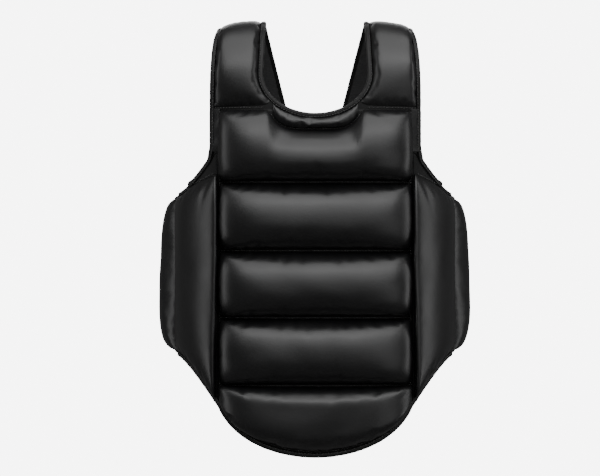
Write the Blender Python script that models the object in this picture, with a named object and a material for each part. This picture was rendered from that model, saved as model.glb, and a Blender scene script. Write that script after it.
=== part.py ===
"""Padded chest protector for martial arts: a bib front of five stuffed ribs under a collar roll and two
shoulder pads, side wings of two pads each that wrap the ribs of the wearer, and a back yoke of two straps
that meet on a small panel, which the wings' elastic belts close on with hook and loop.

The wearer faces -Y, +X is the wearer's left and +Z is up. The origin is on the flat inner face of the front
lining at the breastbone, where the wearer's chest rests. Lengths below are millimetres.
"""

import math

import bmesh
import bpy
from mathutils import Vector

MM = 0.001

# Heights of the seams over each rib, from the chest down
RIB_SEAMS = (175.0, 73.0, -17.0, -108.0, -200.0)
SEAM_GAP = 5.0

# The front in plan: a flat breastbone, then an even curve to the side seams, where the wings hinge
FLAT_HALF = 60.0
CHEST_RADIUS = 190.0
SEAM_AT = 133.0
RIB_HALF = 127.5
LINING_HALF = 131.5
OUTLINE_AT = 146.0

# The rounded hem below the last rib seam is half an ellipse
HEM_HALF = 140.0
HEM_DROP = 98.0
HEM_TAPE = (0.095, 0.905)  # shares of the half turn that the front's hem tape covers

# The neckline is half an ellipse under two straight shoulder edges
NECK_HALF = 71.0
NECK_CENTRE_Z = 222.0
NECK_DROP = 52.5
COLLAR_HALF = 58.0
COLLAR_HEIGHT = 14.5
COLLAR_RISE = 23.0
COLLAR_RISE_AT = 62.0
COLLAR_BEND = 4.8

# Layers, outwards from the face that touches the wearer
LINING = 1.5
SKIN = 1.3
RIM_LOW = 2.2
RIM_TOP = 3.4
FOAM_LOW = 2.9
FOAM_INSET = 6.5
FOAM_CLEAR = 3.0
BINDING = 3.0
BINDING_INSET = 3.2
LAYER_INSET = 6.7
SHOULDER_INSET = 7.8
WING_INSET = 8.2
REAR_INSET = 2.0

# Crowns, the height of a pad over its rim
RIB_CROWN = 28.0
COLLAR_CROWN = 9.0
SHOULDER_CROWN = 13.0
WING_CROWN = 22.0
REAR_CROWN = 22.0
PANEL_CROWN = 9.0
STRAP_CROWN = 5.0

STRIP_LOW = 118.0

# The wings in plan: headings in degrees from +X towards +Y, and lengths along the lining
WING_LENGTH, WING_HEADINGS = 88.0, (27.0, 68.0)
REAR_LENGTH, REAR_HEADINGS = 108.0, (75.0, 112.0)
HINGE_CLEAR = 1.6
PAD_START = 4.0
WING_TOP, WING_TOP_RISE, WING_TOP_BEND = 64.0, 65.0, 1.9
WING_LOW, WING_LOW_DROP, WING_LOW_BEND = -164.0, 66.6, 1.8
REAR_TOP, REAR_TOP_FALL = 60.0, 20.0
REAR_LOW, REAR_LOW_RISE = -162.0, 22.0
REAR_CORNER = 28.0

# The straps over the shoulders, as Bezier paths of (y, z) of their inner faces
FRONT_PATH = ((0.0, 176.0), (0.0, 215.0), (10.0, 275.0), (66.0, 291.0))
BACK_PATH = ((66.0, 291.0), (120.0, 304.0), (203.0, 200.0), (203.0, 36.0))
STRAP_TOP = (68.0, 134.0)
STRAP_END = (1.0, 58.0)
STRAP_TILT = 4.5
STRAP_SPLIT = 0.7
STRAP_TAPE_END = 0.965
SHOULDER_LOW, SHOULDER_NECK_RISE = 0.035, 0.075  # shares of the front path where the pad starts
SHOULDER_LINING_LOW = 0.012
NECK_TAPE_REACH = 0.93  # share of each shoulder edge that the neck tape covers, from the top
SHOULDER_AXIS = (66.0, 281.0)

# The back panel and what closes on it
PANEL_Y = 203.0
PANEL_LOW, PANEL_TOP = -118.0, 36.0
PANEL_HALF = 66.0
PANEL_CORNER = 20.0
PATCH_HALF = (58.0, 32.0)
PATCH = 1.5
BELT_Z = -45.0
BELT_HALF_WIDTH = 25.0
BELT = 2.0
TAB_ENDS = (12.0, 54.0)
GAP = 0.4

# The belt in plan: how it leaves the rear pad, where it straightens, and its stations along its two parts
BELT_LEAD, BELT_TURN = 30.0, 14.0
BELT_BEND = (110.0, 72.0)
BELT_STATIONS = (0.012, 0.125, 0.25, 0.375, 0.5, 0.625, 0.75, 0.875, 1.0, 1.35, 1.7, 2.0)

PAD_CELLS = (10, 6)

MATERIALS = {
    "leather": ((0.012, 0.012, 0.013), 0.38),
    "binding_tape": ((0.016, 0.016, 0.016), 0.60),
    "lining_mesh": ((0.020, 0.020, 0.021), 0.90),
    "foam": ((0.30, 0.31, 0.33), 0.95),
    "elastic": ((0.018, 0.018, 0.018), 0.85),
    "hook_and_loop": ((0.022, 0.022, 0.022), 0.95),
}


def clear_scene():
    for old in list(bpy.data.objects):
        bpy.data.objects.remove(old, do_unlink=True)


def collection(name):
    made = bpy.data.collections.new(name)
    bpy.context.scene.collection.children.link(made)
    return made


def material(name):
    """The Principled material of that name, made once."""
    made = bpy.data.materials.get(name)
    if made is None:
        colour, roughness = MATERIALS[name]
        made = bpy.data.materials.new(name)
        made.use_nodes = True
        shader = made.node_tree.nodes["Principled BSDF"]
        shader.inputs["Base Color"].default_value = (*colour, 1.0)
        shader.inputs["Roughness"].default_value = roughness
        shader.inputs["Metallic"].default_value = 0.0
    return made


def bezier(points, t):
    """Point of a cubic Bezier curve at t, from 0 to 1."""
    u = 1.0 - t
    weights = (u**3, 3 * u * u * t, 3 * u * t * t, t**3)
    return tuple(sum(w * p[k] for w, p in zip(weights, points)) for k in range(len(points[0])))


def mix(pair, share):
    return pair[0] + (pair[1] - pair[0]) * share


def rounded(cells):
    """Stations from -1 to 1, closer together at both ends, where a pad turns down to its seam."""
    return [math.sin(math.pi / 2 * (2 * i / cells - 1)) for i in range(cells + 1)]


# Surfaces: each takes two distances and gives a point on the face that touches the wearer. The first distance
# runs outwards from the middle and the second up, or along a strap, so that their cross product faces out.


def column(u, z):
    """The front body in plan: flat, then turning evenly, then straight on past the side seam."""
    over = abs(u) - FLAT_HALF
    if over <= 0:
        return Vector((u, 0.0, z))
    last = (SEAM_AT - FLAT_HALF) / CHEST_RADIUS
    angle = min(over / CHEST_RADIUS, last)
    beyond = max(0.0, abs(u) - SEAM_AT)
    x = FLAT_HALF + CHEST_RADIUS * math.sin(angle) + beyond * math.cos(angle)
    y = CHEST_RADIUS * (1 - math.cos(angle)) + beyond * math.sin(angle)
    return Vector((math.copysign(x, u), y, z))


class Run:
    """A stretch of the plan that starts at a point and turns evenly from one heading to another."""

    def __init__(self, start, headings, length):
        self.start = Vector(start).to_3d()
        self.first, self.last = (math.radians(h) for h in headings)
        self.length = length
        self.radius = length / (self.last - self.first)

    def __call__(self, s, z):
        angle = self.first + s / self.radius
        x = self.start.x + self.radius * (math.sin(angle) - math.sin(self.first))
        y = self.start.y + self.radius * (math.cos(self.first) - math.cos(angle))
        return Vector((x, y, z))


def off(surface, s, t, out):
    """The point that lies out millimetres off a surface, square to it."""
    step = 0.5
    along_s = surface(s + step, t) - surface(s - step, t)
    along_t = surface(s, t + step * 0.01) - surface(s, t - step * 0.01)
    return surface(s, t) + along_s.cross(along_t).normalized() * out


def plan_depth(x):
    """How far behind the breastbone the front body lies at a distance x from its middle."""
    angle = math.asin(max(0.0, min(x, SEAM_AT) - FLAT_HALF) / CHEST_RADIUS)
    return CHEST_RADIUS * (1 - math.cos(angle)) + max(0.0, x - SEAM_AT) * math.tan(angle)


def neck_height(x, inset=0.0):
    """Height of the neckline at a distance x from the middle, set back from its outline by inset."""
    share = x / (NECK_HALF + inset)
    return NECK_CENTRE_Z - (NECK_DROP + inset) * math.sqrt(max(0.0, 1 - share * share))


def neck_width(z, inset=0.0):
    """Half width of the neck opening at a height z, set back from its outline by inset."""
    drop = min(1.0, max(0.0, (NECK_CENTRE_Z - z) / (NECK_DROP + inset)))
    return (NECK_HALF + inset) * math.sqrt(max(0.0, 1 - drop * drop))


def hem_height(u, inset):
    """Height of the hem at u, set back from its outline by inset."""
    share = min(1.0, abs(u) / (HEM_HALF - inset))
    return RIB_SEAMS[-1] - (HEM_DROP - inset) * math.sqrt(1 - share * share)


def front_strap(inset=0.0):
    """A shoulder pad's base, set back from the strap's edges by inset."""

    def surface(k, t):
        """k runs from -1 at the neck edge to 1 at the arm, t from the chest seam to the top."""
        y, z = bezier(FRONT_PATH, t)
        if z < NECK_CENTRE_Z:
            inner = neck_width(z, inset)
        else:
            share = (z - NECK_CENTRE_Z) / (FRONT_PATH[-1][1] - NECK_CENTRE_Z)
            inner = mix((NECK_HALF, STRAP_TOP[0]), share) + inset
        outer = mix((column(OUTLINE_AT, 0).x, STRAP_TOP[1]), t**3) - inset
        x = mix((inner, outer), (k + 1) / 2)
        return Vector((x, y + plan_depth(x) * (1 - t) ** 2, z - STRAP_TILT * k * t * t))

    return surface


def back_strap(inset=0.0):
    """A back strap's base, set back from its edges by inset."""
    top, end = BACK_PATH[0], BACK_PATH[-1]
    lean = math.hypot(1.0, (STRAP_TOP[0] - STRAP_END[0]) / (top[1] - end[1]))

    def surface(k, t):
        """k runs from -1 at the neck edge to 1 at the arm, t from the shoulder down to the back panel."""
        y, z = bezier(BACK_PATH, t)
        share = max(0.0, (top[1] - z) / (top[1] - end[1]))
        inner = mix((STRAP_TOP[0], STRAP_END[0]), share) + inset * lean
        outer = mix((STRAP_TOP[1], STRAP_END[1]), share) - inset * lean
        return Vector((mix((inner, outer), (k + 1) / 2), y, z - STRAP_TILT * k * (1 - share) ** 2))

    return surface


def panel(s, z):
    """The back panel is flat and faces the rear."""
    return Vector((-s, PANEL_Y, z))


# Building


def add_mesh(name, bm, slot, sharp_deg=50):
    bmesh.ops.recalc_face_normals(bm, faces=bm.faces[:])
    if bm.calc_volume(signed=True) < 0:
        bmesh.ops.reverse_faces(bm, faces=bm.faces[:])
    mesh = bpy.data.meshes.new(name)
    bm.to_mesh(mesh)
    bm.free()
    mesh.shade_smooth()
    mesh.set_sharp_from_angle(angle=math.radians(sharp_deg))
    made = bpy.data.objects.new(name, mesh)
    PARTS.objects.link(made)
    made.data.materials.append(material(slot))
    return made


def slab(name, first, second, place, slot, side=1):
    """A grid given thickness: place(a, b, face) puts its points, face 0 the back and face 1 the front."""
    bm = bmesh.new()
    across, along = len(first) - 1, len(second) - 1
    bmesh.ops.create_grid(bm, x_segments=across, y_segments=along, size=1.0)
    made = bmesh.ops.extrude_face_region(bm, geom=bm.faces[:])
    front = {v for v in made["geom"] if isinstance(v, bmesh.types.BMVert)}
    for v in bm.verts:
        i = round((v.co.x + 1) / 2 * across)
        j = round((v.co.y + 1) / 2 * along)
        point = place(first[i], second[j], int(v in front))
        v.co = Vector((side * point.x, point.y, point.z)) * MM
    return add_mesh(name, bm, slot)


class Region:
    """The outline of a piece on a surface: from first to last across, and from low(s) to high(s) along."""

    def __init__(self, surface, first, last, low, high, fullness=(5.0, 2.3), scale=1.0):
        self.surface, self.first, self.last = surface, first, last
        self.low, self.high, self.fullness = low, high, fullness
        self.scale = scale  # millimetres along for each unit of the second distance

    def at(self, a, b, inset):
        """Distances on the surface for a and b from -1 to 1, set back from the outline by inset."""
        across = inset / self.across_scale()
        s = mix((self.first + across, self.last - across), (a + 1) / 2)
        back = inset / self.scale
        return s, mix((self.low(s) + back, self.high(s) - back), (b + 1) / 2)

    def across_scale(self):
        """Millimetres across for each unit of the first distance, measured half way along."""
        middle = (self.low(self.first) + self.high(self.first)) / 2
        span = self.surface(self.last, middle) - self.surface(self.first, middle)
        return 1.0 if self.last - self.first > 4 else span.length / (self.last - self.first)

    def swell(self, s, t):
        """Share of the crown that a pad reaches at a place: 0 on its seams and 1 in its middle."""
        a = 2 * (s - self.first) / (self.last - self.first) - 1
        b = 2 * (t - self.low(s)) / (self.high(s) - self.low(s)) - 1
        rise = (1 - min(1, abs(a)) ** self.fullness[0]) * (1 - min(1, abs(b)) ** self.fullness[1])
        return math.sqrt(max(0.0, rise))


def cover(name, region, crown, cells=PAD_CELLS, side=1, rim=(RIM_LOW, RIM_TOP)):
    """A pad's skin: a thin dish, open towards the lining."""

    def place(a, b, face):
        swell = region.swell(*region.at(a, b, 0.0))
        s, t = region.at(a, b, 0.0 if face else SKIN)
        out = rim[1] + crown * swell if face else rim[0] + (crown - 0.4) * swell
        return off(region.surface, s, t, out)

    return slab(name, rounded(cells[0]), rounded(cells[1]), place, "leather", side)


def foam(name, region, crown, cells=PAD_CELLS, side=1, inset=FOAM_INSET, low=FOAM_LOW):
    """The core that fills a pad: the pad's own shape, drawn in clear of its skin."""

    def place(a, b, face):
        swell = region.swell(*region.at(a, b, 0.0))
        s, t = region.at(a, b, inset)
        top = max(low + 1.0, RIM_LOW + crown * swell - FOAM_CLEAR)
        return off(region.surface, s, t, top if face else low)

    return slab(name, rounded(cells[0]), rounded(cells[1]), place, "foam", side)


def sheet(name, region, outs, cells, slot, side=1, stations=None):
    """A layer of even thickness between two distances off the surface."""

    def place(a, b, face):
        s, t = region.at(a, b, 0.0)
        return off(region.surface, s, t, outs[face])

    return slab(name, stations or rounded(cells[0]), rounded(cells[1]), place, slot, side)


def binding(name, points, side=1):
    """A folded edge tape, as a round tube along points in millimetres."""
    curve = bpy.data.curves.new(name, "CURVE")
    curve.dimensions = "3D"
    curve.bevel_depth = BINDING * MM
    curve.bevel_resolution = 1
    curve.use_fill_caps = True
    spline = curve.splines.new("POLY")
    spline.points.add(len(points) - 1)
    for spot, p in zip(spline.points, points):
        spot.co = (side * p.x * MM, p.y * MM, p.z * MM, 1.0)
    made = bpy.data.objects.new(name, curve)
    PARTS.objects.link(made)
    curve.materials.append(material("binding_tape"))
    return made


def trail(surface, places, out=2.0):
    return [off(surface, s, t, out) for s, t in places]


def shares(count):
    return [i / (count - 1) for i in range(count)]


# The front body


def rib_region(index):
    """Rib 0 is at the chest, cut out for the collar, and the last one is rounded like the hem."""
    half_gap = SEAM_GAP / 2

    def high(u):
        top = RIB_SEAMS[index]
        return min(top, collar_low(u)) - half_gap if index == 0 else top - half_gap

    def low(u):
        if index == len(RIB_SEAMS) - 1:
            return hem_height(u, HEM_HALF - RIB_HALF - 1.5) - half_gap
        return RIB_SEAMS[index + 1] + half_gap

    return Region(column, -RIB_HALF, RIB_HALF, low, high, fullness=(7.0, 2.2))


def collar_low(u):
    """The seam under the collar roll, which rises to the shoulder seams."""
    rise = COLLAR_RISE * (abs(u) / COLLAR_RISE_AT) ** COLLAR_BEND
    return neck_height(0) - LAYER_INSET - COLLAR_HEIGHT + rise


def collar_region():
    def high(u):
        return neck_height(u, LAYER_INSET)

    return Region(column, -COLLAR_HALF, COLLAR_HALF, lambda u: collar_low(u) + 1.0, high, fullness=(6.0, 2.0))


def front_body():
    for index in range(len(RIB_SEAMS)):
        region = rib_region(index)
        cover(f"rib_cover_{index + 1}", region, RIB_CROWN)
        foam(f"rib_foam_{index + 1}", region, RIB_CROWN)
    collar = collar_region()
    cover("collar_cover", collar, COLLAR_CROWN, cells=(10, 4), rim=(RIM_LOW + 0.5, RIM_TOP))
    foam("collar_foam", collar, COLLAR_CROWN, cells=(10, 4), inset=4.5, low=FOAM_LOW + 0.6)

    def lining_top(u):
        return min(RIB_SEAMS[0], neck_height(u, LAYER_INSET))

    whole = Region(column, -LINING_HALF, LINING_HALF, lambda u: hem_height(u, LAYER_INSET), lining_top)
    curved = [u * RIB_HALF for u in rounded(PAD_CELLS[0]) if u * RIB_HALF > FLAT_HALF]
    flat = [FLAT_HALF * share / 5 for share in range(6)]
    right = [u / LINING_HALF for u in (*flat, *curved, LINING_HALF)]
    stations = [-u for u in reversed(right[1:])] + right
    sheet("front_lining", whole, (0.0, LINING), (0, 4), "lining_mesh", stations=stations)
    for name, side in (("left", 1), ("right", -1)):
        shoulder(name, side)
        side_strip(name, side)
    hem = [math.pi * mix(HEM_TAPE, share) for share in shares(29)]
    radii = HEM_HALF - BINDING_INSET, HEM_DROP - BINDING_INSET
    turns = [(-radii[0] * math.cos(turn), RIB_SEAMS[-1] - radii[1] * math.sin(turn)) for turn in hem]
    binding("hem_binding", trail(column, turns))
    neck_binding()


def strap_split(path):
    """Share of a strap's path that the clearance at the shoulder takes."""
    steps = [bezier(path, share) for share in shares(33)]
    length = sum(math.dist(a, b) for a, b in zip(steps, steps[1:]))
    return STRAP_SPLIT / length, length


def shoulder(name, side):
    split, length = strap_split(FRONT_PATH)
    pad = Region(front_strap(SHOULDER_INSET), -1, 1,
                 lambda k: SHOULDER_LOW + SHOULDER_NECK_RISE * max(0.0, -k), lambda k: 1 - 2.5 * split,
                 fullness=(3.4, 4.0), scale=length)
    cover(f"{name}_shoulder_cover", pad, SHOULDER_CROWN, cells=(6, 10), side=side)
    foam(f"{name}_shoulder_foam", pad, SHOULDER_CROWN, cells=(6, 10), side=side)
    back = Region(front_strap(LAYER_INSET + 0.5), -1, 1, lambda k: SHOULDER_LINING_LOW, lambda k: 1 - split,
                  scale=length)
    sheet(f"{name}_shoulder_lining", back, (0.0, LINING), (6, 10), "lining_mesh", side=side)


def side_strip(name, side):
    """The narrow leather strip between the ribs' side seam and the armhole binding, above the wing."""
    strip = Region(column, SEAM_AT + 2 * GAP, OUTLINE_AT - LAYER_INSET,
                   lambda u: STRIP_LOW, lambda u: RIB_SEAMS[0])
    sheet(f"{name}_side_strip", strip, (0.0, RIM_TOP + 1.0), (2, 2), "leather", side=side)
    arm = [(OUTLINE_AT - BINDING_INSET, mix((STRIP_LOW + 1.5, RIB_SEAMS[0]), t)) for t in shares(5)]
    points = trail(column, arm)
    split, _ = strap_split(FRONT_PATH)
    for t in shares(12)[1:]:
        t *= 1 - split
        points.append(off(front_strap(BINDING_INSET), 1, t, 2.0))
    binding(f"{name}_armhole_binding", points, side)


def neck_binding():
    """One tape from the top of one shoulder, round the neckline, to the top of the other."""
    split, _ = strap_split(FRONT_PATH)
    side = []
    for t in shares(14):
        t = (1 - split) * (1 - t * NECK_TAPE_REACH)
        side.append(off(front_strap(BINDING_INSET), -1, t, 2.0))
    last = side[-1].x
    front = []
    for share in shares(13)[1:-1]:
        x = last * math.cos(math.pi * share)
        front.append(off(column, x, neck_height(x, BINDING_INSET), 2.0))
    other = [Vector((-p.x, p.y, p.z)) for p in reversed(side)]
    binding("neck_binding", side + front + other)


# The wings


def wing_top(s):
    return WING_TOP + WING_TOP_RISE * max(0.0, 1 - s / WING_LENGTH) ** WING_TOP_BEND


def wing_low(s):
    return WING_LOW - WING_LOW_DROP * max(0.0, 1 - s / WING_LENGTH) ** WING_LOW_BEND


def rear_corner(s):
    """How far the rear pad's rounded corners come in from its straight edges."""
    over = max(0.0, s - (REAR_LENGTH - REAR_CORNER))
    return REAR_CORNER - math.sqrt(max(0.0, REAR_CORNER**2 - over**2))


def rear_top(s):
    return REAR_TOP - REAR_TOP_FALL * (s / REAR_LENGTH) ** 2 - rear_corner(s)


def rear_low(s):
    return REAR_LOW + REAR_LOW_RISE * (s / REAR_LENGTH) ** 2 + rear_corner(s)


def set_back(edge, inset):
    """The height function of an edge moved square to itself by inset, upwards where it is above zero."""

    def moved(s):
        slope = edge(s + 0.5) - edge(s - 0.5)
        return edge(s) + inset * math.hypot(1.0, slope)

    return moved


def wing_high(inset):
    """The wing's top set back by inset, and kept under the side strip where they meet."""
    moved = set_back(wing_top, -inset)
    return lambda s: min(moved(s), STRIP_LOW - 1.5)


def wing(name, side, run):
    end = WING_LENGTH - HINGE_CLEAR
    pad = Region(run, PAD_START, WING_LENGTH - PAD_START, set_back(wing_low, WING_INSET),
                 wing_high(WING_INSET), fullness=(2.6, 7.0))
    cover(f"{name}_wing_cover", pad, WING_CROWN, cells=(8, 8), side=side)
    foam(f"{name}_wing_foam", pad, WING_CROWN, cells=(8, 8), side=side)
    back = Region(run, HINGE_CLEAR, end, set_back(wing_low, LAYER_INSET), wing_high(LAYER_INSET))
    sheet(f"{name}_wing_lining", back, (0.0, LINING), (8, 4), "lining_mesh", side=side)
    ends = {
        "top": (OUTLINE_AT - SEAM_AT + 1.0, set_back(wing_top, -BINDING_INSET)),
        "low": (HINGE_CLEAR + 3.0, set_back(wing_low, BINDING_INSET)),
    }
    for place, (start, edge) in ends.items():
        along = [mix((start, end - 1.0), share) for share in shares(11)]
        binding(f"{name}_wing_{place}_binding", trail(run, [(s, edge(s)) for s in along]), side)


def rear_wing(name, side, run):
    pad = Region(run, PAD_START, REAR_LENGTH - REAR_INSET, lambda s: rear_low(s) + REAR_INSET,
                 lambda s: rear_top(s) - REAR_INSET, fullness=(2.6, 5.0))
    cover(f"{name}_rear_cover", pad, REAR_CROWN, cells=(8, 8), side=side)
    foam(f"{name}_rear_foam", pad, REAR_CROWN, cells=(8, 8), side=side)
    back = Region(run, HINGE_CLEAR, REAR_LENGTH - 1.0, rear_low, rear_top)
    sheet(f"{name}_rear_lining", back, (0.0, LINING), (8, 4), "lining_mesh", side=side)


# The belts and the yoke


def belt_surface(start):
    """From the rear pad's end round to the back panel, then straight across it."""
    y = PANEL_Y + RIM_TOP + PANEL_CROWN + 2 * PATCH + 3 * GAP
    last = math.radians(REAR_HEADINGS[1] + BELT_TURN)
    lead = start.x + BELT_LEAD * math.cos(last), start.y + BELT_LEAD * math.sin(last)
    turn = (start.x, start.y), lead, (BELT_BEND[0], y), (BELT_BEND[1], y)

    def surface(s, z):
        if s <= 1.0:
            x, depth = bezier(turn, s)
            return Vector((x, depth, z))
        return Vector((mix((turn[3][0], TAB_ENDS[0] - 4), s - 1.0), y, z))

    return surface


def belt(name, side, run):
    surface = belt_surface(run(REAR_LENGTH, 0.0))
    low, high = BELT_Z - BELT_HALF_WIDTH, BELT_Z + BELT_HALF_WIDTH

    def place(a, b, face):
        return off_plan(surface, a, mix((low, high), b), BELT * face)

    slab(f"{name}_elastic_belt", BELT_STATIONS, [0.0, 1.0], place, "elastic", side)
    y = surface(1.5, 0).y

    def tab(a, b, face):
        return Vector((mix(TAB_ENDS, a), y - GAP - PATCH * (1 - face), mix((low + 3, high - 3), b)))

    slab(f"{name}_hook_tab", [0.0, 1.0], [0.0, 1.0], tab, "hook_and_loop", side)


def off_plan(surface, s, z, out):
    """Like off(), for a surface whose first distance is a share of its length."""
    step = 0.004
    along = surface(s + step, z) - surface(s - step, z)
    return surface(s, z) + along.cross(Vector((0, 0, 1))).normalized() * out


def back_panel():
    def corner(s):
        over = max(0.0, abs(s) - (PANEL_HALF - PANEL_CORNER))
        return PANEL_CORNER - math.sqrt(max(0.0, PANEL_CORNER**2 - over**2))

    def region(inset):
        half = PANEL_HALF - inset
        return Region(panel, -half, half, lambda s: PANEL_LOW + inset + corner(s),
                      lambda s: PANEL_TOP - inset - corner(s), fullness=(10.0, 12.0))

    cover("back_panel_cover", region(1.0), PANEL_CROWN, cells=(8, 8))
    foam("back_panel_foam", region(1.0), PANEL_CROWN, cells=(8, 8))
    sheet("back_panel_lining", region(0.0), (0.0, LINING), (8, 2), "lining_mesh")
    base = PANEL_Y + RIM_TOP + PANEL_CROWN + GAP

    def patch(a, b, face):
        return Vector((-a * PATCH_HALF[0], base + PATCH * face, BELT_Z + b * PATCH_HALF[1]))

    slab("loop_patch", [-1.0, 1.0], [-1.0, 1.0], patch, "hook_and_loop")


def yoke_strap(name, side):
    """A back strap, from the shoulder seam to the top of the back panel, and the tape on its arm edge."""
    split, length = strap_split(BACK_PATH)
    skin = Region(back_strap(LAYER_INSET), -1, 1, lambda k: split, lambda k: 1 - split, fullness=(4.0, 12.0),
                  scale=length)
    cover(f"{name}_strap_cover", skin, STRAP_CROWN, cells=(4, 12), side=side)
    sheet(f"{name}_strap_lining", skin, (0.0, LINING), (4, 12), "lining_mesh", side=side)
    down = [mix((split, STRAP_TAPE_END), share) for share in shares(14)]
    binding(f"{name}_strap_binding", trail(back_strap(BINDING_INSET), [(1, t) for t in down]), side)


def back_neck_binding():
    """One tape down the neck edges of both back straps, through the point of the V between them."""
    split, _ = strap_split(BACK_PATH)
    ends = split, STRAP_TAPE_END
    down = trail(back_strap(BINDING_INSET), [(-1, mix(ends, share)) for share in shares(14)])
    other = [Vector((-p.x, p.y, p.z)) for p in reversed(down)]
    binding("back_neck_binding", down + other)


def hang(axis, at, start):
    """Hangs the pieces whose names start that way on an empty that stands on the axis they turn about."""
    empty = bpy.data.objects.new(axis, None)
    empty.location = Vector(at) * MM
    PARTS.objects.link(empty)
    for piece in PARTS.objects:
        if piece.type != "EMPTY" and piece.name.startswith(start):
            piece.parent = empty
            piece.matrix_parent_inverse.translation = -empty.location


def main():
    front_body()
    back_panel()
    back_neck_binding()
    for name, side in (("left", 1), ("right", -1)):
        first = Run(column(SEAM_AT, 0.0), WING_HEADINGS, WING_LENGTH)
        second = Run(first(WING_LENGTH, 0.0), REAR_HEADINGS, REAR_LENGTH)
        wing(name, side, first)
        rear_wing(name, side, second)
        belt(name, side, second)
        yoke_strap(name, side)
        hinges = ("wing", first, 0.0, 0.0), ("rear", second, 0.0, 0.0), ("belt", second, REAR_LENGTH, BELT_Z)
        for piece, run, s, z in hinges:
            at = off(run, s, z, LINING / 2)
            starts = (f"{name}_elastic", f"{name}_hook") if piece == "belt" else f"{name}_{piece}"
            hang(f"{name}_{piece}_axis", (side * at.x, at.y, at.z), starts)
    hang("yoke_axis", (0.0, *SHOULDER_AXIS), ("back_", "loop_", "left_strap", "right_strap"))


clear_scene()
PARTS = collection("chest_protector")
main()
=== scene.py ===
"""Padded martial arts chest protector, as it looks: stuffed leather pads, tapes, linings, stitches and belts.

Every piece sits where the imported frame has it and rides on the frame's bodies. The object faces -Y, and +Z
is up. Lengths are millimetres and angles are degrees, unless a comment says otherwise. A surface takes two
distances along it, or, on a strap, a share of its width from -1 to 1 and a share of its length.
"""

import math

import bmesh
import bpy
import numpy as np
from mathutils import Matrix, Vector


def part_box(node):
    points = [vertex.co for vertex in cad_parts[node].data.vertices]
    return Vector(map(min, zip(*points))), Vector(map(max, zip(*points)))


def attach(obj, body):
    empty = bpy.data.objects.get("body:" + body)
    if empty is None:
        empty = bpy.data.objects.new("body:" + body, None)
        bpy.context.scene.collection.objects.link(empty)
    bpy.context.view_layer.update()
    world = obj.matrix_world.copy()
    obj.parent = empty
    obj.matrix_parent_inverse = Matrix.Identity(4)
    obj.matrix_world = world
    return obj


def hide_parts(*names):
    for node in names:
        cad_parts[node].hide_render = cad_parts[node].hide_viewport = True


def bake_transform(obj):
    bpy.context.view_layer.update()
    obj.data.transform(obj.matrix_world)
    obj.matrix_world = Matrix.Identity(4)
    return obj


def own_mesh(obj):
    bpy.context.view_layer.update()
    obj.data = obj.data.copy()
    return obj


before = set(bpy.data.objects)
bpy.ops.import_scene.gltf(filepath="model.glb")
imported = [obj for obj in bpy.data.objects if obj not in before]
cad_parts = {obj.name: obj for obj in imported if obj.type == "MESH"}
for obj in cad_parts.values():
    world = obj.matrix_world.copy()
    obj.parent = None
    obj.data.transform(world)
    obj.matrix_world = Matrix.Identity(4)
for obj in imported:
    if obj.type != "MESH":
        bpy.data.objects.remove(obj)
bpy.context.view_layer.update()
MM = 0.001

# The plan of the front body and the outlines of its pieces, as in the frame
FLAT_HALF = 60.0
CHEST_RADIUS = 190.0
SEAM_AT = 133.0
OUTLINE_AT = 146.0
RIB_HALF = 129.5
LEDGE_HALF = 131.6
HEM_HALF = 140.0
HEM_DROP = 98.0
NECK_HALF = 71.0
NECK_CENTRE_Z = 222.0
NECK_DROP = 52.5
WING_LENGTH, WING_HEADINGS = 88.0, (27.0, 68.0)
REAR_LENGTH, REAR_HEADINGS = 108.0, (75.0, 112.0)
WING_TOP, WING_TOP_RISE, WING_TOP_BEND = 64.0, 65.0, 1.9
WING_LOW, WING_LOW_DROP, WING_LOW_BEND = -164.0, 66.6, 1.8
REAR_TOP, REAR_TOP_FALL = 60.0, 20.0
REAR_LOW, REAR_LOW_RISE = -162.0, 22.0
REAR_CORNER = 28.0
STRIP_LOW = 118.0
FRONT_PATH = ((0.0, 176.0), (0.0, 215.0), (10.0, 275.0), (66.0, 291.0))
BACK_PATH = ((66.0, 291.0), (120.0, 304.0), (203.0, 200.0), (203.0, 36.0))
STRAP_TOP = (68.0, 134.0)
STRAP_END = (1.0, 58.0)
STRAP_TILT = 4.5
STRAP_STEPS = (0.02, 0.005)
PANEL_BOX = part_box("back_panel_lining")
PANEL_Y = PANEL_BOX[0].y / MM
PANEL_LOW = PANEL_BOX[0].z / MM
PANEL_TOP = PANEL_BOX[1].z / MM
PANEL_HALF = PANEL_BOX[1].x / MM
PANEL_CORNER = 20.0
BELT_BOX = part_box("left_elastic_belt")
SIDES = (("left", 1), ("right", -1))

# The seams above the ribs: half a gap over each cover's top, and the second drawn up by its stuffing
HALF_GAP = 2.5
SEAM_RISES = (0.0, 3.0, 0.0, 0.0, 0.0)
SEAMS = [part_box(f"rib_cover_{i + 1}")[1].z / MM + HALF_GAP + rise for i, rise in enumerate(SEAM_RISES)]

# The layers: distances off the linings' inner faces, and how far each is set in from its outline
LINING_OUTS = (0.0, 1.5)
LEDGE_OUTS = (1.6, 2.4)
CLOSING_OUTS = (0.7, 1.9)
BACKING_OUTS = (-0.8, -0.1)
TAPE_OUT = 2.2
THREAD_OUT = 2.5
RIM = 2.6
BINDING_INSET = 3.2
LEDGE_INSET = 4.0
PAD_INSET = 6.4
STRAP_LINING_INSET, STRAP_SEAM_INSET, STRAP_PAD_INSET = 4.4, 4.6, 6.6
TAPE_WIDTH, TAPE_HEIGHT = 6.7, 5.4
TAPE_ROW_ACROSS, TAPE_ROW_OUT = 2.2, 2.25
EDGE_WIDTH, EDGE_HEIGHT = 4.4, 3.6
KNOB_WIDTH, KNOB_HEIGHT = 8.2, 6.8

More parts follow.
